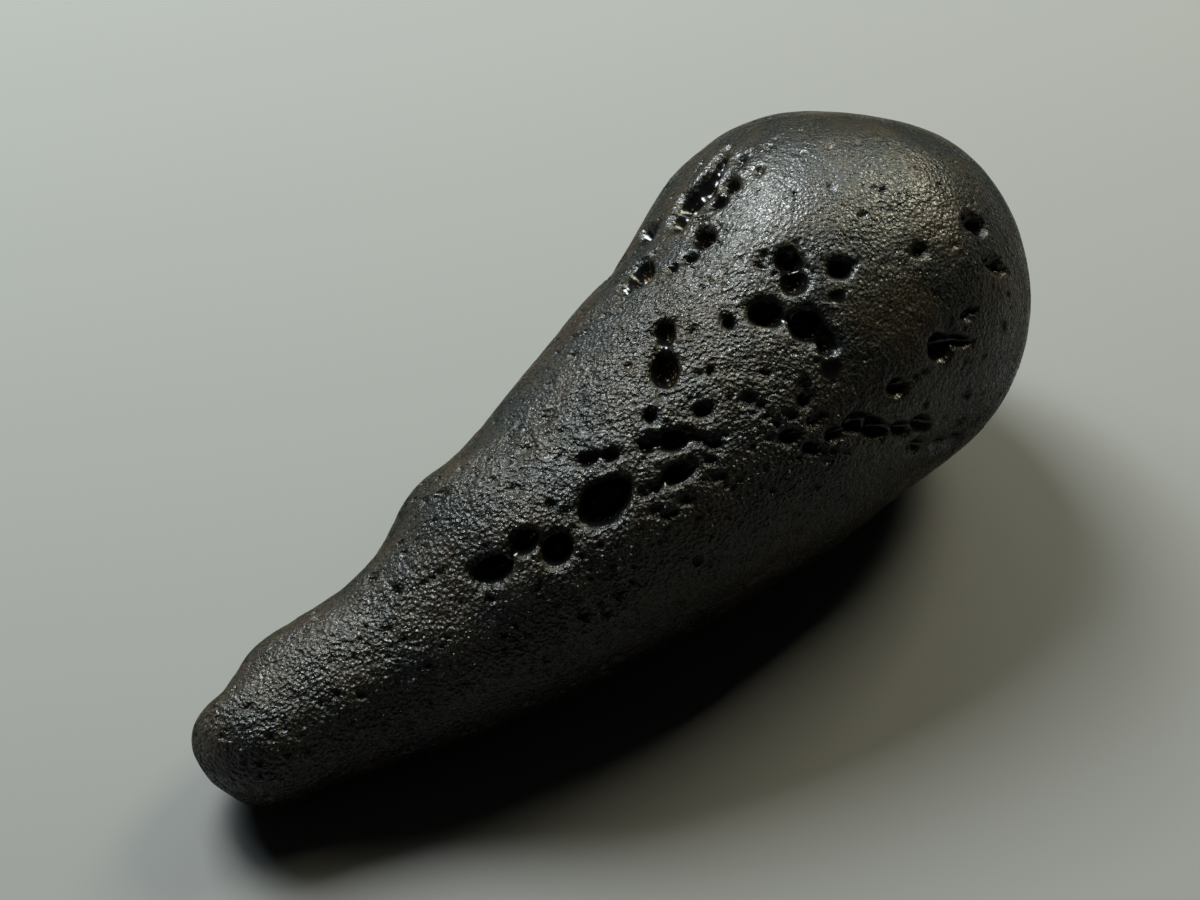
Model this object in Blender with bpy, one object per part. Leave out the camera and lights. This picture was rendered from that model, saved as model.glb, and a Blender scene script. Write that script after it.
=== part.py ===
"""A tektite: a teardrop of natural black glass that lies on its side, with a round bulb at +X, a narrow tail at -X
and bubble pits all over. One solid. Metres, +Z up, origin on the ground under the middle of its box."""

import math
import random

import bmesh
import bpy
from mathutils import Matrix, Vector, noise
from mathutils.bvhtree import BVHTree

# Driving dimensions, in millimetres
LENGTH = 84.2
BULB_RADIUS = 17.5
NUB_RADIUS = 5.9
FLATTENING = 0.975
REST_CUT = 0.4

# Stations from the nub to the bulb: along from the tip of the tail, radius, shift towards -Y, gap under it
STATIONS = (
    (NUB_RADIUS, NUB_RADIUS, 0.0, 0.7),
    (11.0, 7.1, 0.4, 0.0),
    (16.0, 7.8, 1.7, 0.1),
    (21.0, 9.0, 2.4, 0.4),
    (26.0, 10.7, 2.9, 0.9),
    (31.0, 11.4, 3.4, 1.2),
    (36.0, 12.4, 3.3, 1.3),
    (41.0, 13.5, 3.2, 1.3),
    (46.0, 14.5, 2.9, 1.2),
    (51.0, 15.3, 2.6, 1.0),
    (56.0, 16.4, 1.5, 0.6),
    (61.0, 17.3, 0.4, 0.2),
    (LENGTH - BULB_RADIUS, BULB_RADIUS, 0.0, 0.0),
)

# Soft swellings and hollows of the body: along, around, height, reach. Around is 0 at the top, positive towards -Y
SWELLINGS = {
    "blunt tip of the tail": (0.8, -75, 0.7, 3.6),
    "hollow behind the tip": (4.7, -58, -1.1, 2.4),
    "brow over the hollow": (6.8, -57, 0.8, 2.4),
    "foot of the tip": (1.0, 150, -0.1, 3.6),
    "hollow before the ledge": (21.0, -62, -0.3, 3.0),
    "ledge on the far side": (24.6, -60, 0.45, 2.2),
    "top of the neck": (22.0, -10, 0.4, 4.0),
    "near side of the neck": (21.0, 48, 0.45, 5.0),
    "near side of the waist": (34.0, 45, 0.6, 7.0),
    "shoulder of the bulb": (68.0, -48, 0.45, 8.0),
    "flat of the crown": (76.0, -28, -0.7, 6.5),
    "brow of the bulb": (80.0, 10, 0.4, 8.0),
}
UNEVENNESS = 0.15
UNEVENNESS_SPAN = 8.0

# Bubble pits of the side that shows: along, around, length, width, depth, turn of the length from +X towards +Y
PITS = {
    "trench over the shoulder": (
        (60.2, -32, 2.7, 1.7, 0.9, 35),
        (58.9, -31, 2.8, 1.8, 1.1, 45),
        (57.5, -31, 3.8, 2.4, 1.4, 55),
        (55.9, -34, 4.0, 2.5, 1.5, 62),
        (54.1, -34, 3.3, 2.0, 1.3, 50),
    ),
    "row beside the trench": (
        (61.0, -24, 1.7, 1.2, 0.6, 65),
        (60.4, -15, 1.3, 1.0, 0.5, -75),
        (58.3, -21, 2.4, 1.9, 1.0, 55),
        (56.4, -22, 2.6, 1.7, 1.0, -70),
        (53.2, -18, 3.0, 2.2, 1.3, 80),
        (51.1, -17, 1.8, 1.5, 0.8, -25),
        (49.7, -20, 1.6, 1.3, 0.7, 5),
    ),
    "edge of the far side": (
        (53.3, -49, 4.4, 2.0, 1.1, 65),
        (50.5, -59, 4.4, 2.0, 1.1, 40),
        (48.6, -33, 5.0, 2.7, 1.5, 55),
        (46.6, -32, 2.6, 1.5, 0.8, 65),
    ),
    "pair on the crown": (
        (55.8, 12, 2.7, 2.2, 1.4, -35),
        (54.9, 18, 2.5, 2.4, 1.5, -5),
        (53.9, 7, 2.4, 1.0, 0.5, -30),
        (58.5, 26, 2.5, 1.9, 1.2, -30),
    ),
    "row under the crown": (
        (48.8, 11, 1.8, 1.6, 1.0, 50),
        (51.5, 17, 3.5, 2.7, 1.7, -45),
        (53.5, 29, 3.2, 3.0, 1.7, 30),
        (54.3, 35, 2.4, 1.6, 1.4, -80),
        (54.1, 39, 2.2, 1.8, 1.3, 85),
    ),
    "right of the bulb": (
        (72.4, 38, 3.3, 1.9, 1.0, -50),
        (72.3, 51, 3.5, 1.6, 1.0, -50),
        (65.5, 36, 2.1, 1.4, 0.6, -20),
        (67.1, 59, 2.0, 1.1, 0.6, -15),
        (63.4, 62, 3.1, 2.4, 1.3, -85),
        (65.6, 64, 4.4, 1.2, 0.8, -30),
        (58.1, 63, 2.2, 1.7, 0.9, -55),
    ),
    "keyhole on the flank": (
        (44.9, -3, 2.5, 1.9, 1.2, 50),
        (43.8, 2, 2.3, 1.4, 0.9, 50),
        (42.6, 7, 3.9, 2.5, 1.7, 50),
        (43.9, -5, 1.2, 1.0, 0.5, -15),
        (41.1, -4, 1.3, 1.1, 0.4, 0),
    ),
    "low on the bulb": (
        (46.2, 35, 1.8, 1.2, 0.5, -50),
        (50.2, 46, 1.9, 1.5, 0.8, 60),
        (47.6, 52, 2.5, 1.5, 1.0, -20),
        (49.1, 60, 2.2, 1.4, 0.9, -45),
        (51.2, 61, 2.3, 1.5, 1.0, -20),
        (49.9, 53, 1.4, 1.2, 0.6, 25),
        (53.6, 63, 3.0, 1.8, 1.1, -25),
        (55.3, 70, 2.8, 1.7, 1.1, -45),
        (57.6, 76, 3.0, 1.5, 0.9, -35),
        (60.0, 80, 3.6, 1.6, 0.9, -45),
        (59.4, 87, 3.4, 1.5, 0.8, -35),
        (62.5, 95, 4.0, 1.6, 0.8, -45),
        (64.8, 99, 3.2, 2.0, 0.8, -50),
    ),
    "rough patch on the waist": (
        (42.8, 28, 2.1, 1.6, 0.9, -20),
        (39.4, 17, 1.7, 1.4, 0.8, -20),
        (37.8, 24, 2.3, 1.6, 0.9, 5),
        (39.7, 29, 3.1, 2.1, 1.2, -20),
        (41.3, 34, 1.5, 1.1, 0.6, -30),
        (42.1, 39, 1.8, 1.2, 0.7, -50),
        (38.6, 39, 3.5, 1.8, 1.1, -10),
        (36.4, 38, 1.9, 1.1, 0.6, -15),
        (38.1, 48, 1.7, 1.0, 0.5, -25),
        (40.9, 48, 1.3, 1.0, 0.4, -30),
    ),
    "slits over the waist": (
        (34.3, -16, 2.6, 1.5, 0.35, -15),
        (31.6, -11, 1.9, 1.5, 0.35, -40),
        (33.7, 12, 2.6, 1.3, 0.8, -30),
        (35.3, 18, 2.4, 1.3, 0.8, -20),
    ),
    "cave": (
        (32.6, 29, 4.9, 3.5, 2.0, 5),
        (33.8, 30, 3.4, 2.8, 1.9, 25),
        (32.0, 32, 3.8, 2.4, 1.5, -20),
        (30.1, 23, 1.5, 1.2, 0.4, -20),
    ),
    "three below the cave": (
        (28.0, 34, 3.4, 2.6, 1.7, 50),
        (26.4, 23, 3.1, 2.1, 1.3, 0),
        (23.5, 23, 4.1, 2.4, 1.4, -20),
    ),
    "tail": (
        (17.7, -28, 1.6, 1.2, 0.4, -25),
        (18.0, -6, 1.7, 1.1, 0.5, -60),
        (15.6, 12, 1.7, 1.0, 0.3, -25),
    ),
    "near flank": (
        (27.7, 63, 1.4, 1.2, 0.5, 20),
        (29.3, 67, 1.4, 1.2, 0.5, 55),
        (30.6, 63, 1.5, 1.1, 0.5, 50),
    ),
}

# Patches of pits on the sides that don't show: along, around, spread along, spread around, how many
HIDDEN_PATCHES = (
    (62.0, -95, 7.0, 22, 6),
    (40.0, -110, 8.0, 18, 5),
    (52.0, 150, 9.0, 20, 6),
    (28.0, -150, 7.0, 25, 4),
    (74.0, -150, 4.0, 22, 4),
)
HIDDEN_WIDTHS = (1.3, 3.2)
HIDDEN_SEED = 11

SIDES = 36
BODY_RINGS = 30
CAP_RINGS = 8
SMALL_PIT = 1.65
# The facets of a bubble lie inside its true form, so each pit is cut this many millimetres longer and wider, and
# this many times as deep
FACET_LOSS = 0.3
DEEPENING = 1.25
RIM_ANGLE = 32
GLASS_COLOUR = (0.012, 0.012, 0.013, 1.0)
GLASS_ROUGHNESS = 0.38
GLASS_IOR = 1.5

MM = 0.001


def spline(knots, column, along):
    """Smooth value of one column of the stations at a distance along the body."""
    last = len(knots) - 1
    piece = max(i for i in range(last) if i == 0 or knots[i][0] <= along)
    start, end = knots[piece], knots[piece + 1]
    span = end[0] - start[0]
    share = (along - start[0]) / span

    def slope(i):
        low, high = max(i - 1, 0), min(i + 1, last)
        return (knots[high][column] - knots[low][column]) / (knots[high][0] - knots[low][0])

    squared, cubed = share**2, share**3
    return (
        (2 * cubed - 3 * squared + 1) * start[column]
        + (cubed - 2 * squared + share) * slope(piece) * span
        + (3 * squared - 2 * cubed) * end[column]
        + (cubed - squared) * slope(piece + 1) * span
    )


def section(along):
    """Radius, shift and height of the middle of the body; past the end stations it keeps their values."""
    along = min(max(along, STATIONS[0][0]), STATIONS[-1][0])
    radius, shift, gap = (spline(STATIONS, column, along) for column in (1, 2, 3))
    return radius, shift, gap + radius * FLATTENING - REST_CUT


def ring_places():
    """Along and radius of every ring: round over the nub, along the stations, round over the bulb."""
    nub, bulb = STATIONS[0], STATIONS[-1]
    turns = [math.pi / 2 * i / CAP_RINGS for i in range(1, CAP_RINGS)]
    places = [(nub[0] - nub[1] * math.cos(turn), nub[1] * math.sin(turn)) for turn in turns]
    for i in range(BODY_RINGS):
        along = nub[0] + (bulb[0] - nub[0]) * i / (BODY_RINGS - 1)
        places.append((along, section(along)[0]))
    places += [(bulb[0] + bulb[1] * math.sin(turn), bulb[1] * math.cos(turn)) for turn in turns]
    return places


def add_ring(mesh, along, radius):
    _, shift, height = section(along)
    ring = []
    for side in range(SIDES):
        turn = 2 * math.pi * side / SIDES
        across = -shift - radius * math.sin(turn)
        up = height + radius * FLATTENING * math.cos(turn)
        ring.append(mesh.verts.new(Vector((along, across, up)) * MM))
    for i in range(SIDES):
        mesh.edges.new((ring[i], ring[i - 1]))
    return ring


def close_end(mesh, ring, along):
    """Closes the last ring of an end with a fan to its tip."""
    _, shift, height = section(along)
    tip = mesh.verts.new(Vector((along, -shift, height)) * MM)
    for i in range(SIDES):
        mesh.faces.new((ring[i - 1], ring[i], tip))


def surface_at(tree, along, around):
    """Point and normal of the surface, seen from the middle of the body, in millimetres."""
    _, shift, height = section(along)
    turn = math.radians(around)
    outward = Vector((0.0, -math.sin(turn), math.cos(turn)))
    point, normal, _, _ = tree.ray_cast(Vector((along, -shift, height)) * MM, outward)
    return point / MM, normal


def swell(mesh):
    """Moves the surface at each swelling, and a little everywhere, so that it isn't a turned shape."""
    tree = BVHTree.FromBMesh(mesh)
    mesh.normal_update()
    places = []
    for along, around, height, reach in SWELLINGS.values():
        places.append((surface_at(tree, along, around)[0], height, reach))
    for vertex in mesh.verts:
        point = vertex.co / MM
        move = UNEVENNESS * noise.noise(point / UNEVENNESS_SPAN)
        for centre, height, reach in places:
            move += height * math.exp(-(((point - centre).length / reach) ** 2))
        vertex.co += vertex.normal * move * MM


def body_mesh():
    """The body without its pits, as rings bridged from the tail to the bulb."""
    mesh = bmesh.new()
    rings = [add_ring(mesh, along, radius) for along, radius in ring_places()]
    bmesh.ops.bridge_loops(mesh, edges=mesh.edges)
    close_end(mesh, rings[0], 0.0)
    close_end(mesh, rings[-1], LENGTH)
    bmesh.ops.recalc_face_normals(mesh, faces=mesh.faces)
    swell(mesh)
    return mesh


def glass():
    material = bpy.data.materials.new("tektite_glass")
    material.use_nodes = True
    shader = material.node_tree.nodes["Principled BSDF"]
    shader.inputs["Base Color"].default_value = GLASS_COLOUR
    shader.inputs["Roughness"].default_value = GLASS_ROUGHNESS
    shader.inputs["Metallic"].default_value = 0.0
    shader.inputs["IOR"].default_value = GLASS_IOR
    return material


def cutter(name, mesh, collection):
    obj = bpy.data.objects.new(name, mesh)
    obj.hide_render = True
    obj.display_type = "WIRE"
    collection.objects.link(obj)
    return obj


def bubble_mesh(name, subdivisions):
    """A bubble of radius 1, stretched to each pit by the scale of its object."""
    mesh = bmesh.new()
    bmesh.ops.create_icosphere(mesh, subdivisions=subdivisions, radius=1.0)
    data = bpy.data.meshes.new(name)
    mesh.to_mesh(data)
    mesh.free()
    return data


def pit_frame(normal, turn):
    """Rotation that lays X along the pit's length and Z out of the surface."""
    along = (Vector((1.0, 0.0, 0.0)) - normal * normal.x).normalized()
    frame = Matrix((along, normal.cross(along), normal)).transposed()
    return frame @ Matrix.Rotation(math.radians(turn), 3, "Z")


def hidden_pits():
    """Pits scattered over the patches that don't show, in the same terms as PITS."""
    dice = random.Random(HIDDEN_SEED)
    pits = []
    for along, around, spread_along, spread_around, count in HIDDEN_PATCHES:
        for _ in range(count):
            width = dice.uniform(*HIDDEN_WIDTHS)
            length = width * dice.uniform(1.05, 1.6)
            place = (dice.gauss(along, spread_along / 2), dice.gauss(around, spread_around / 2))
            pits.append((*place, length, width, width * dice.uniform(0.38, 0.55), dice.uniform(-90, 90)))
    return pits


def add_pits(tree, collection, offset):
    plain = bubble_mesh("small_bubble", 1)
    fine = bubble_mesh("bubble", 2)
    pits = [(name.replace(" ", "_"), pit) for name, group in PITS.items() for pit in group]
    pits += [("hidden", pit) for pit in hidden_pits()]
    for name, (along, around, length, width, depth, turn) in pits:
        point, normal = surface_at(tree, along, around)
        obj = cutter("pit_" + name, plain if width < SMALL_PIT else fine, collection)
        obj.location = point * MM + offset
        obj.rotation_euler = pit_frame(normal, turn).to_euler()
        reach = ((length + FACET_LOSS) / 2, (width + FACET_LOSS) / 2, depth * DEEPENING)
        obj.scale = Vector(reach) * MM


def add_ground(collection):
    """The block that cuts the flat spots the body rests on."""
    mesh = bmesh.new()
    bmesh.ops.create_cube(mesh, size=1.0)
    data = bpy.data.meshes.new("ground_block")
    mesh.to_mesh(data)
    mesh.free()
    ground = cutter("ground_block", data, collection)
    ground.scale = Vector((2 * LENGTH, LENGTH, BULB_RADIUS)) * MM
    ground.location = (0.0, 0.0, -BULB_RADIUS / 2 * MM)


def carve(body, cutters):
    """Cuts every pit and the flat spots in one Boolean, applies it, and leaves the rims of the pits sharp."""
    cut = body.modifiers.new("pits", "BOOLEAN")
    cut.operation = "DIFFERENCE"
    cut.solver = "EXACT"
    cut.operand_type = "COLLECTION"
    cut.collection = cutters
    graph = bpy.context.evaluated_depsgraph_get()
    carved = bpy.data.meshes.new_from_object(body.evaluated_get(graph))
    body.modifiers.remove(cut)
    body.data = carved
    carved.shade_smooth()
    carved.set_sharp_from_angle(angle=math.radians(RIM_ANGLE))


def centring(mesh):
    """The move that brings the middle of the body's box over the origin."""
    move = Vector((0.0, 0.0, 0.0))
    for axis in (0, 1):
        places = [vertex.co[axis] for vertex in mesh.verts]
        move[axis] = -(min(places) + max(places)) / 2
    return move


def main():
    for old in list(bpy.data.objects):
        bpy.data.objects.remove(old)
    mesh = body_mesh()
    tree = BVHTree.FromBMesh(mesh)
    offset = centring(mesh)
    bmesh.ops.translate(mesh, verts=mesh.verts, vec=offset)
    data = bpy.data.meshes.new("tektite")
    mesh.to_mesh(data)
    mesh.free()
    data.materials.append(glass())
    body = bpy.data.objects.new("tektite", data)
    bpy.context.collection.objects.link(body)
    cutters = bpy.data.collections.new("cutters")
    bpy.context.scene.collection.children.link(cutters)
    add_pits(tree, cutters, offset)
    add_ground(cutters)
    carve(body, cutters)


main()
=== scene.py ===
"""The looks of the tektite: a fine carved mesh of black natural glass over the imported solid, on a pale floor."""

import math

import bpy
import numpy as np
from mathutils import Matrix, Vector, kdtree, noise


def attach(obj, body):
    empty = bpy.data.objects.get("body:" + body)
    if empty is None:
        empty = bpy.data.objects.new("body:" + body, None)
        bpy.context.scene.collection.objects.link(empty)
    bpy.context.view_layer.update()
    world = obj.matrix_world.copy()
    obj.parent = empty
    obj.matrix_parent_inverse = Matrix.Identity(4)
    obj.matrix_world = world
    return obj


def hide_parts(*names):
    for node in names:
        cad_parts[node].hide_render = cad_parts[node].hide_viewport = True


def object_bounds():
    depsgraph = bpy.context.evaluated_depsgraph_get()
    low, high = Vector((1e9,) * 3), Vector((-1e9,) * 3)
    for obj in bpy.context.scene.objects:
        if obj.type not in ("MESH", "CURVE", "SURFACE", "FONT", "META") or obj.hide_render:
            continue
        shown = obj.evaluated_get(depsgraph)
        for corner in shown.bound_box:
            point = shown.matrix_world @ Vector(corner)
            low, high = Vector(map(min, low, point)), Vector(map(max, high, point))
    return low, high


MM = 0.001

# Camera, read off the photograph: angles in degrees, lengths in metres
CAMERA_FIELD = 30.0
CAMERA_ELEVATION = 47.0
CAMERA_TURN = 40.0
CAMERA_AIM = (0.0077, 0.01165, 0.0)
FRAME_WIDTH = 0.112
NEAREST_SEEN = 0.01

# Lights: height and bearing from straight behind the object in degrees, size in metres, power in watts, colour
LIGHT_DISTANCE = 0.45
LIGHTS = {
    "middle_pane": (50, -30, 0.18, 3.5, (0.94, 1.0, 0.98)),
    "left_pane": (42, -46, 0.16, 1.0, (0.80, 0.96, 1.0)),
    "right_pane": (42, 42, 0.16, 1.5, (1.0, 0.96, 0.72)),
    "back_pane": (38, 12, 0.16, 0.3, (0.80, 0.95, 1.0)),
}
ROOM_LIGHT = 0.012
ROOM_COLOUR = (1.0, 0.99, 0.97, 1.0)

# Floor of paper: from its middle to its edge in metres, colour, roughness and specular level
FLOOR_REACH = 3.0
FLOOR_COLOUR = (0.18, 0.18, 0.175, 1.0)
FLOOR_ROUGHNESS = 0.9
FLOOR_SPECULAR = 0.1

# Fine mesh
NODE = "tektite"
VOXEL = 0.25 * MM
MOST_FACES = 198000

# Finding the pits: rounds of smoothing for the first guess at the body, the least dip below it that is a pit, rounds
# that widen the pits' outlines and how little still counts, rounds that fill the pits and that take the facets away
BLUR_ROUNDS = 80
LEAST_DIP = 0.03 * MM
WIDEN_ROUNDS = 4
WIDEN_SHARE = 0.02
FILL_ROUNDS = 600
FACET_ROUNDS = 120

# Depths in the pits: over the edge, where the glass turns clean, and the depth that the material knows as 1
EDGE_DEPTHS = (0.05 * MM, 0.30 * MM)
CLEAN_DEPTHS = (0.25 * MM, 0.60 * MM)
FULL_DEPTH = 1.2 * MM
NEARNESS_ROUNDS = 60

# Where the coarse skin of the tail and waist turns into the finer skin of the bulb, from the tip of the tail
COARSE_UNTIL = 46 * MM
FINE_FROM = 60 * MM
FINE_SHARE = 0.45

# Unevenness of the skin: height, distance between its features, octaves, and the shift of its noise
UNEVENNESS = {
    "lumps": (0.07 * MM, 4.5 * MM, 2, 0.0),
    "crumple": (0.065 * MM, 2.4 * MM, 2, 5.0),
    "roughness": (0.028 * MM, 1.1 * MM, 3, 7.0),
    "floor of the pits": (0.06 * MM, 0.9 * MM, 2, 3.0),
    "edge of the pits": (0.09 * MM, 1.3 * MM, 2, 11.0),
}
# How much of a small mark is left inside a large pit
MARKS_IN_PITS = 0.3

# Small marks that the solid leaves out: along, around, length, width, depth in mm and degrees, and the turn of the
# length from +X towards +Y. Around is 0 at the top, positive towards -Y
MARKS = {
    "slit beside the trench": (55.3, -23, 2.1, 0.6, 0.35, -76),
    "edge of the crown": (63.5, -20, 1.1, 0.9, 0.35, 80),
    "brow of the bulb": (67.0, 16, 0.9, 0.8, 0.30, 15),
    "top of the tail": (4.3, 1, 1.1, 0.9, 0.35, 0),
    "groove on the neck": (20.8, 5, 4.2, 0.6, 0.25, -17),
    "dip above the cave": (28.4, 1, 1.8, 1.4, 0.30, -54),
    "lip under the rough patch": (36.3, 44, 1.6, 1.1, 0.35, 0),
    "second lip under it": (37.3, 49, 1.6, 0.9, 0.35, -19),
    "nick in the ledge": (25.0, -26, 1.9, 1.4, 0.35, -46),
}
# Shallow dishes where the glass broke clean and shines
DISHES = {
    "under the row": (53.3, 44, 2.4, 1.9, 0.28, 59),
    "under the crown's second pit": (57.2, 31, 1.7, 1.3, 0.22, -27),
    "under the crown's first pit": (55.2, 20, 2.2, 1.2, 0.22, -28),
}
# Marks are placed on the ring of skin within this distance along the body
RING_HALF_WIDTH = 0.4 * MM
# Height of the faint rim round a mark, as a share of its depth
RIM_SHARE = 0.10

# Pits strewn over the whole skin: how many, their smallest and largest radius in mm, and how strongly they keep
# to the coarse skin and to the neighbourhood of the large pits
STREWN = {
    "fine": (1300, 0.18, 0.34, 0.8, 1.5),
    "middling": (110, 0.34, 0.60, 0.5, 14.0),
}
STREWN_STRETCH = (1.0, 1.6)
STREWN_DEPTHS = (0.5, 0.9)
PATCH_SPAN = 9 * MM
PATCH_LEAST = 0.4
SEED = 7

# Layers of the bump: size and height
CUPS = (0.36 * MM, 0.12 * MM)
GRAIN = (0.20 * MM, 0.09 * MM)
SWELL = (1.10 * MM, 0.24 * MM)
SPECKS = (0.80 * MM, 0.10 * MM)
SPECK_EDGE = (0.12, 0.30)
# Strength of the bump on the bulb, on the tail, and the share of it that is left on clean glass
BUMP_ON_BULB = 0.52
BUMP_ON_TAIL = 1.15
BUMP_ON_CLEAN = 0.10
# Stored shine between which the etched skin turns into clean glass
CLEAN_RANGE = (0.1, 0.7)

# Colour of the glass: two tints in patches, clean glass, and grains of soil at the bottom of the deeper pits
PATCH_SIZE = 5.0 * MM
PATCH_EDGE = (0.40, 0.62)
GREEN_BLACK = (0.005, 0.006, 0.005, 1.0)
BROWN_BLACK = (0.017, 0.012, 0.006, 1.0)
CLEAN_BLACK = (0.003, 0.003, 0.003, 1.0)
SOIL_COLOUR = (0.16, 0.08, 0.025, 1.0)
SOIL_SIZE = 0.26 * MM
SOIL_DEPTHS = (0.70, 0.95)
SOIL_EDGE = (0.60, 0.68)

# Roughness: of the glinting grains, which changes in clouds, of the matte skin between them, of clean glass, and what
# soil adds
GLINT_SIZE = 0.20 * MM
GLINT_EDGE = (0.42, 0.58)
GLINT_ROUGHNESS = (0.11, 0.28)
CLOUD_SIZE = 2.4 * MM
CLOUD_EDGE = (0.38, 0.60)
MATTE_ROUGHNESS = 0.54
CLEAN_ROUGHNESS = 0.16
SOIL_ROUGHNESS = 0.4

# Specular level: face on and at the rim, between two values of the facing, and the share that is left in deep pits
FACE_SPECULAR = 0.38
RIM_SPECULAR = 0.03
RIM_RANGE = (0.30, 0.74)
# The share left in deep pits is painted shade: it dims the reflections down in them
DEEP_RANGE = (0.3, 1.0)
DEEP_SHARE = 0.6

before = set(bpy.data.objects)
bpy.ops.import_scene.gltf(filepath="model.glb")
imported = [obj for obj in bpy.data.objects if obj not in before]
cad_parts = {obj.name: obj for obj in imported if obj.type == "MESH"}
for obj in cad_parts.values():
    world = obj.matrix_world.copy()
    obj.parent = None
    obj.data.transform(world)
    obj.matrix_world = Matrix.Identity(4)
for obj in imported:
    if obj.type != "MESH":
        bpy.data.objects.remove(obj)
cad_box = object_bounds()
tail_tip = cad_box[0][0]


def view_axes():
    """Right, up and forward of the camera, as unit vectors."""
    turn, drop = math.radians(CAMERA_TURN), math.radians(CAMERA_ELEVATION)
    forward = Vector((math.sin(turn) * math.cos(drop), math.cos(turn) * math.cos(drop), -math.sin(drop)))
    right = Vector((math.cos(turn), -math.sin(turn), 0.0))
    return right, right.cross(forward), forward


def add_camera():
    data = bpy.data.cameras.new("camera")
    data.sensor_fit = "HORIZONTAL"
    data.angle = math.radians(CAMERA_FIELD)
    data.clip_start = NEAREST_SEEN
    right, up, forward = view_axes()
    distance = FRAME_WIDTH / 2 / math.tan(data.angle / 2)
    camera = bpy.data.objects.new("camera", data)
    axes = Matrix((right, up, -forward)).transposed().to_4x4()
    camera.matrix_world = Matrix.Translation(Vector(CAMERA_AIM) - forward * distance) @ axes
    bpy.context.scene.collection.objects.link(camera)
    bpy.context.scene.camera = camera


def area_light(name, height, bearing, size, power, colour):
    """A square light that faces the object: its height and its bearing from straight behind it, in degrees."""
    rise, turn = math.radians(height), math.radians(bearing + CAMERA_TURN)
    direction = Vector((math.cos(rise) * math.sin(turn), math.cos(rise) * math.cos(turn), math.sin(rise)))
    data = bpy.data.lights.new(name, "AREA")
    data.size = size
    data.energy = power
    data.color = colour
    light = bpy.data.objects.new(name, data)
    light.location = direction * LIGHT_DISTANCE
    light.rotation_euler = direction.to_track_quat("Z", "Y").to_euler()
    bpy.context.scene.collection.objects.link(light)


def add_lights():
    """The panes of a window behind the object, and a dim room."""
    for name, (height, bearing, size, power, colour) in LIGHTS.items():
        area_light(name, height, bearing, size, power, colour)
    world = bpy.data.worlds.new("studio")
    world.use_nodes = True
    background = world.node_tree.nodes["Background"]
    background.inputs["Color"].default_value = ROOM_COLOUR
    background.inputs["Strength"].default_value = ROOM_LIGHT
    bpy.context.scene.world = world
    bpy.context.scene.view_settings.view_transform = "Standard"


def paper():
    material = bpy.data.materials.new("floor_paper")
    material.use_nodes = True
    shader = material.node_tree.nodes["Principled BSDF"]
    shader.inputs["Base Color"].default_value = FLOOR_COLOUR
    shader.inputs["Roughness"].default_value = FLOOR_ROUGHNESS
    shader.inputs["Specular IOR Level"].default_value = FLOOR_SPECULAR
    return material


def add_floor():
    mesh = bpy.data.meshes.new("floor")
    corners = [(x * FLOOR_REACH, y * FLOOR_REACH, 0.0) for x, y in ((-1, -1), (1, -1), (1, 1), (-1, 1))]
    mesh.from_pydata(corners, [], [(0, 1, 2, 3)])
    mesh.materials.append(paper())
    floor = bpy.data.objects.new("floor", mesh)
    bpy.context.scene.collection.objects.link(floor)


class Skin:
    """The fine mesh as arrays: points in metres, edges and their neighbours, for smoothing and carving."""

    def __init__(self, mesh):
        self.mesh = mesh
        count = len(mesh.vertices)
        self.points = np.empty(count * 3)
        mesh.vertices.foreach_get("co", self.points)
        self.points = self.points.reshape(-1, 3)
        edges = np.empty(len(mesh.edges) * 2, np.int64)
        mesh.edges.foreach_get("vertices", edges)
        self.ends = edges.reshape(-1, 2)

    def smoothed(self, values, rounds, where=None):
        """Averages each vertex with its neighbours over and over, in every column; only where the mask says."""
        count = len(values)
        here, ends = np.arange(count), self.ends
        moves = np.ones(count, bool)
        if where is not None:
            here, ends = np.unique(ends[where[ends].any(axis=1)], return_inverse=True)
            ends = ends.reshape(-1, 2)
            moves = where[here]
            count = len(here)
        a, b = ends[:, 0].copy(), ends[:, 1].copy()
        degree = np.bincount(ends.ravel(), minlength=count)
        result = values.copy()
        columns = result.reshape(len(values), -1)
        for i in range(columns.shape[1]):
            column = columns[here, i]
            for _ in range(rounds):
                total = np.bincount(a, column[b], count) + np.bincount(b, column[a], count)
                column = np.where(moves, (column + total / degree) / 2, column)
            columns[here, i] = column
        return result

    def normals(self):
        self.store()
        found = np.empty(len(self.points) * 3, np.float32)
        self.mesh.vertices.foreach_get("normal", found)
        return found.reshape(-1, 3).astype(float)

    def store(self):
        self.mesh.vertices.foreach_set("co", self.points.ravel())
        self.mesh.update()


def applied(piece, kind, **settings):
    """Replaces the object's mesh by the result of one modifier."""
    modifier = piece.modifiers.new(kind.lower(), kind)
    for key, value in settings.items():
        setattr(modifier, key, value)
    graph = bpy.context.evaluated_depsgraph_get()
    mesh = bpy.data.meshes.new_from_object(piece.evaluated_get(graph), preserve_all_data_layers=True, depsgraph=graph)
    piece.modifiers.clear()
    piece.data = mesh


def fine_copy(node):
    """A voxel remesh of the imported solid, as a new object."""
    piece = bpy.data.objects.new("tektite_skin", node.data.copy())
    bpy.context.scene.collection.objects.link(piece)
    applied(piece, "REMESH", mode="VOXEL", voxel_size=VOXEL)
    return piece


def steady(skin, values, rounds):
    """Smooths without shrinking: the part that the first pass takes away is smoothed and given back."""
    flat = skin.smoothed(values, rounds)
    return flat + skin.smoothed(values - flat, rounds)


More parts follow.
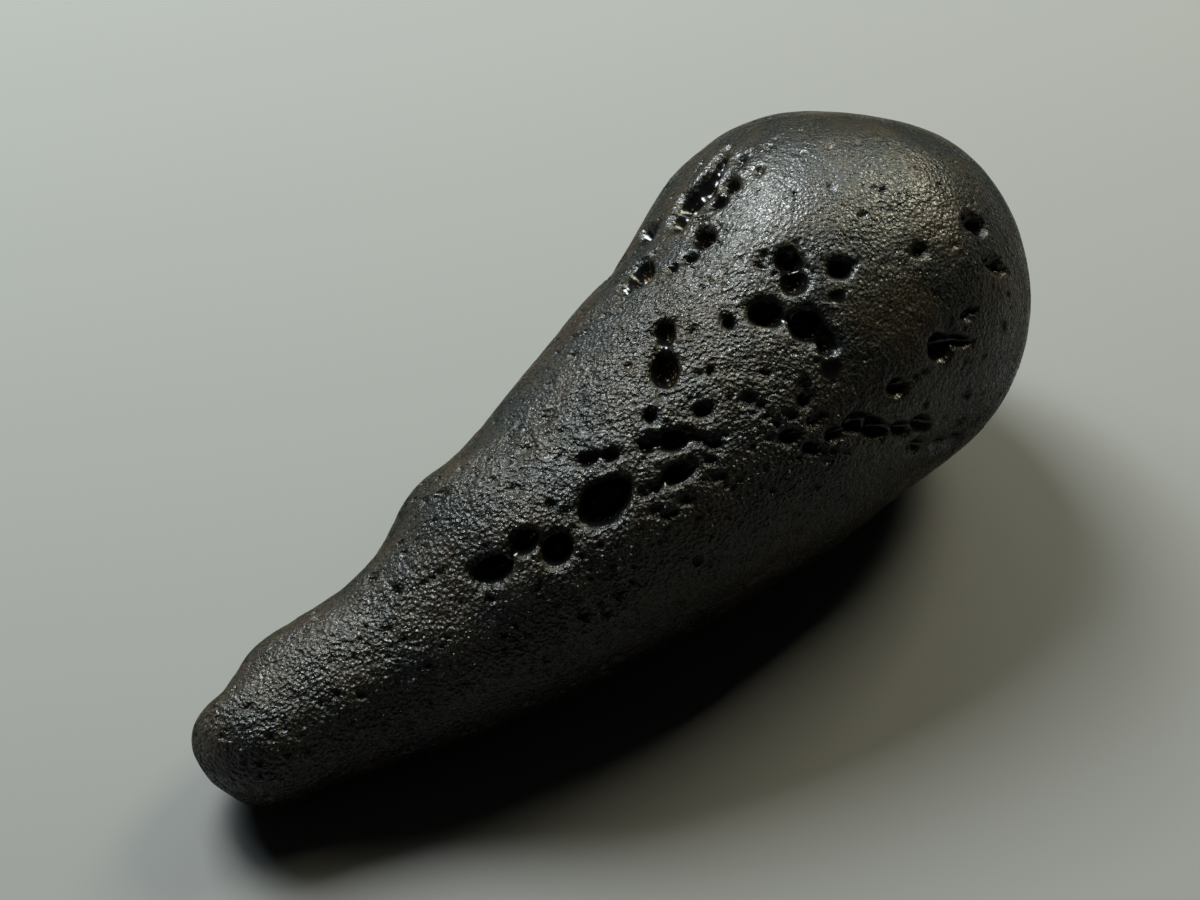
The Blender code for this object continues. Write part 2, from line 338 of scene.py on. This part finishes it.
def envelope(skin):
    """The body without facets and without its pits, and how deep each vertex lies below it."""
    normals = skin.normals()
    blurred = skin.smoothed(skin.points, BLUR_ROUNDS)
    height = ((skin.points - blurred) * normals).sum(1)
    pit = height < -LEAST_DIP
    pit = skin.smoothed(pit.astype(float), WIDEN_ROUNDS) > WIDEN_SHARE
    filled = skin.smoothed(skin.points, FILL_ROUNDS, where=pit)
    original = skin.points.copy()
    skin.points = steady(skin, filled, FACET_ROUNDS)
    outward = skin.normals()
    depth = ((filled - original) * outward).sum(1)
    return outward, np.where(pit, np.maximum(depth, 0.0), 0.0)


def wrinkles(points, span, octaves=1, offset=0.0):
    """Smooth noise of about -1 to 1 at each point, with its features span apart."""
    shift = Vector((offset, offset, offset))
    return np.array([noise.fractal(Vector(p) + shift, 1.0, 2.0, octaves) for p in points / span])


def uneven(kind, points, shift=0):
    """One kind of unevenness at each point, in metres."""
    height, span, octaves, offset = UNEVENNESS[kind]
    return height * wrinkles(points, span, octaves, offset + shift)


def step(values, low, high):
    """0 below low, 1 above high, with a soft change between them."""
    t = np.clip((values - low) / (high - low), 0.0, 1.0)
    return t * t * (3.0 - 2.0 * t)


class Surface:
    """Finds places on the skin and dents it there."""

    def __init__(self, points, outward):
        self.points = points
        self.outward = outward
        self.depth = np.zeros(len(points))
        self.tree = kdtree.KDTree(len(points))
        for i, point in enumerate(points):
            self.tree.insert(point, i)
        self.tree.balance()

    def vertex_at(self, along, around):
        """The vertex at that distance from the tip of the tail, and that angle from the top towards -Y."""
        near = np.flatnonzero(np.abs(self.points[:, 0] - tail_tip - along * MM) < RING_HALF_WIDTH)
        ring = self.points[near]
        middle = (ring.min(0) + ring.max(0)) / 2
        angle = np.degrees(np.arctan2(middle[1] - ring[:, 1], ring[:, 2] - middle[2]))
        return near[np.argmin(np.abs((angle - around + 180) % 360 - 180))]

    def dent(self, vertex, length, width, depth, turn, rim=RIM_SHARE):
        """Adds an oval dent with a faint raised rim; lengths in metres, the turn in degrees."""
        centre, normal = self.points[vertex], self.outward[vertex]
        reach = max(length, width) * 0.75
        near = np.array([i for _, i, _ in self.tree.find_range(centre, reach)])
        first = np.array((1.0, 0.0, 0.0)) - normal * normal[0]
        first /= np.linalg.norm(first)
        second = np.cross(normal, first)
        angle = math.radians(turn)
        lengthwise = first * math.cos(angle) + second * math.sin(angle)
        offset = self.points[near] - centre
        u = offset @ lengthwise / (length / 2)
        v = offset @ np.cross(normal, lengthwise) / (width / 2)
        distance = np.hypot(u, v)
        bowl = depth * np.clip(1.0 - distance ** 2, 0.0, 1.0) ** 0.8
        lip = -rim * depth * np.exp(-((distance - 1.12) / 0.16) ** 2)
        self.depth[near] = np.where(bowl > 0, np.maximum(self.depth[near], bowl), self.depth[near] + lip)
        return near, np.clip(1.3 - distance, 0.0, 1.0)

    def mark(self, place, rim=RIM_SHARE):
        """Dents the skin at a place of MARKS or DISHES."""
        along, around, length, width, depth, turn = place
        return self.dent(self.vertex_at(along, around), length * MM, width * MM, depth * MM, turn, rim)


def strew_pits(surface, crowding, count, low, high, rng):
    """Pits at random vertices, more of them where it is crowded; radii in mm."""
    for vertex in rng.choice(len(crowding), count, replace=False, p=crowding / crowding.sum()):
        radius = (low + (high - low) * rng.random() ** 2) * MM
        stretch = rng.uniform(*STREWN_STRETCH)
        depth = radius * rng.uniform(*STREWN_DEPTHS)
        surface.dent(vertex, 2 * radius * stretch, 2 * radius, depth, rng.uniform(0, 180))


def dent_all(surface, coarse, in_pit, near_pit):
    """Dents all the small pits, marks and dishes; returns how clean the dishes are at each vertex."""
    rng = np.random.default_rng(SEED)
    patchy = PATCH_LEAST + np.clip(wrinkles(surface.points, PATCH_SPAN, 2), 0, 1)
    for count, low, high, likes_coarse, likes_pits in STREWN.values():
        crowding = coarse ** (2 * likes_coarse) * (patchy + likes_pits * near_pit) * (in_pit < 0.2)
        strew_pits(surface, crowding, count, low, high, rng)
    for place in MARKS.values():
        surface.mark(place)
    clean = np.zeros(len(in_pit))
    for place in DISHES.values():
        near, share = surface.mark(place, rim=0.0)
        clean[near] = np.maximum(clean[near], share)
    return clean


def keep_attribute(mesh, name, values):
    """Stores a number from 0 to 1 for each vertex, for the material to read."""
    layer = mesh.attributes.new(name, "FLOAT", "POINT")
    layer.data.foreach_set("value", np.clip(values, 0.0, 1.0).astype(np.float32))


def carve(piece):
    """Smooths the facets away, keeps the solid's pits and adds all that is finer than they are."""
    skin = Skin(piece.data)
    outward, pit_depth = envelope(skin)
    body = skin.points.copy()
    in_pit = step(pit_depth, *EDGE_DEPTHS)
    near_pit = skin.smoothed(in_pit, NEARNESS_ROUNDS)
    along = body[:, 0] - tail_tip
    coarse = 1.0 - (1.0 - FINE_SHARE) * step(along, COARSE_UNTIL, FINE_FROM)
    surface = Surface(body, outward)
    clean = dent_all(surface, coarse, in_pit, near_pit)

    skin_height = uneven("lumps", body) + coarse * (uneven("crumple", body) + uneven("roughness", body))
    floor_height = in_pit * uneven("floor of the pits", body)
    small_depth = surface.depth * (1.0 - (1.0 - MARKS_IN_PITS) * in_pit)
    height = skin_height + floor_height - pit_depth - small_depth
    skin.points = body + outward * height[:, None]
    edge = np.clip(4.0 * near_pit * (1.0 - near_pit), 0.0, 1.0)
    for axis in range(3):
        skin.points[:, axis] += edge * uneven("edge of the pits", body, shift=axis)
    skin.points[:, 2] = np.maximum(skin.points[:, 2], 0.0)
    skin.store()
    keep_attribute(piece.data, "pit", (pit_depth + surface.depth) / FULL_DEPTH)
    keep_attribute(piece.data, "shine", np.maximum(step(pit_depth, *CLEAN_DEPTHS), clean))
    keep_attribute(piece.data, "coarse", coarse)


class Graph:
    """Adds nodes to a material one call at a time; an input is a number, a colour or another node's output."""

    def __init__(self, name):
        self.material = bpy.data.materials.new(name)
        self.material.use_nodes = True
        self.tree = self.material.node_tree
        self.shader = self.tree.nodes["Principled BSDF"]

    def set(self, node, key, value):
        socket = node.inputs[key]
        if isinstance(value, bpy.types.NodeSocket):
            self.tree.links.new(value, socket)
        else:
            socket.default_value = value

    def add(self, kind, out=0, settings=None, **inputs):
        node = self.tree.nodes.new("ShaderNode" + kind)
        for key, value in (settings or {}).items():
            setattr(node, key, value)
        for key, value in inputs.items():
            self.set(node, int(key[2:]) if key.startswith("in") else key.replace("_", " "), value)
        return node.outputs[out]

    def attribute(self, name):
        return self.add("Attribute", out=2, settings={"attribute_name": name})

    def product(self, a, b):
        return self.add("Math", settings={"operation": "MULTIPLY"}, in0=a, in1=b)

    def total(self, *parts):
        result = parts[0]
        for part in parts[1:]:
            result = self.add("Math", settings={"operation": "ADD"}, in0=result, in1=part)
        return result

    def noise(self, place, size, detail=2.0, rough=0.5):
        return self.add("TexNoise", Vector=place, Scale=1.0 / size, Detail=detail, Roughness=rough)

    def cells(self, place, size):
        return self.add("TexVoronoi", Vector=place, Scale=1.0 / size)

    def ramp(self, value, low, high, start=0.0, end=1.0):
        """start to end, as value goes from low to high, and no further."""
        return self.add("MapRange", in0=value, in1=low, in2=high, in3=start, in4=end)

    def blend(self, share, a, b):
        return self.add("Mix", out=2, settings={"data_type": "RGBA"}, in0=share, in6=a, in7=b)

    def mix(self, share, a, b):
        return self.add("Mix", settings={"data_type": "FLOAT"}, in0=share, in2=a, in3=b)


def glass_bump(g, place, shine, coarse):
    """Cups and grain, a little swell and pinpricks; weak on the bulb and almost gone on clean glass."""
    cups = g.product(g.cells(place, CUPS[0]), CUPS[1])
    grain = g.product(g.noise(place, GRAIN[0], detail=2.0), GRAIN[1])
    swell = g.product(g.noise(place, SWELL[0], detail=3.0), SWELL[1])
    specks = g.product(g.ramp(g.cells(place, SPECKS[0]), *SPECK_EDGE), SPECKS[1])
    clean = g.ramp(shine, *CLEAN_RANGE, 1.0, BUMP_ON_CLEAN)
    strength = g.product(clean, g.ramp(coarse, FINE_SHARE, 1.0, BUMP_ON_BULB, BUMP_ON_TAIL))
    return g.add("Bump", Height=g.total(cups, grain, swell, specks), Distance=1.0, Strength=strength)


def glass_colour(g, place, clean, soil):
    patch = g.noise(place, PATCH_SIZE, detail=4.0, rough=0.6)
    tint = g.blend(g.ramp(patch, *PATCH_EDGE), GREEN_BLACK, BROWN_BLACK)
    return g.blend(soil, g.blend(clean, tint, CLEAN_BLACK), SOIL_COLOUR)


def glass_roughness(g, place, clean, soil):
    """Glinting grains in matte skin outside, clean glass in the pits."""
    cloud = g.noise(place, CLOUD_SIZE, detail=3.0, rough=0.6)
    glint = g.ramp(cloud, *CLOUD_EDGE, *GLINT_ROUGHNESS)
    grains = g.noise(place, GLINT_SIZE, detail=1.0)
    matte = g.ramp(grains, *GLINT_EDGE, glint, MATTE_ROUGHNESS)
    return g.total(g.mix(clean, matte, CLEAN_ROUGHNESS), g.product(soil, SOIL_ROUGHNESS))


def glass():
    """Black etched glass that glints outside, is clean and smooth in the pits, and has soil at their bottom."""
    g = Graph("tektite_black_glass")
    place = g.add("TexCoord", out=3)
    pit = g.attribute("pit")
    shine = g.attribute("shine")
    coarse = g.attribute("coarse")
    clean = g.ramp(shine, *CLEAN_RANGE)
    crumbs = g.noise(place, SOIL_SIZE, detail=1.0)
    soil = g.product(g.ramp(pit, *SOIL_DEPTHS), g.ramp(crumbs, *SOIL_EDGE))
    rim = g.add("LayerWeight", out=1, Blend=0.5)
    # Painted shade: the specular level is dimmed in the deep pits
    deep_pit_shade = g.ramp(pit, *DEEP_RANGE, 1.0, DEEP_SHARE)
    g.set(g.shader, "Normal", glass_bump(g, place, shine, coarse))
    g.set(g.shader, "Base Color", glass_colour(g, place, clean, soil))
    g.set(g.shader, "Roughness", glass_roughness(g, place, clean, soil))
    g.set(g.shader, "Specular IOR Level", g.product(deep_pit_shade, g.ramp(rim, *RIM_RANGE, FACE_SPECULAR, RIM_SPECULAR)))
    return g.material


def add_tektite():
    piece = fine_copy(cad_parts[NODE])
    carve(piece)
    applied(piece, "DECIMATE", ratio=MOST_FACES / (2 * len(piece.data.polygons)))
    piece.data.shade_smooth()
    piece.data.materials.clear()
    piece.data.materials.append(glass())
    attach(piece, "root")
    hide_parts(NODE)


add_camera()
add_lights()
add_floor()
add_tektite()
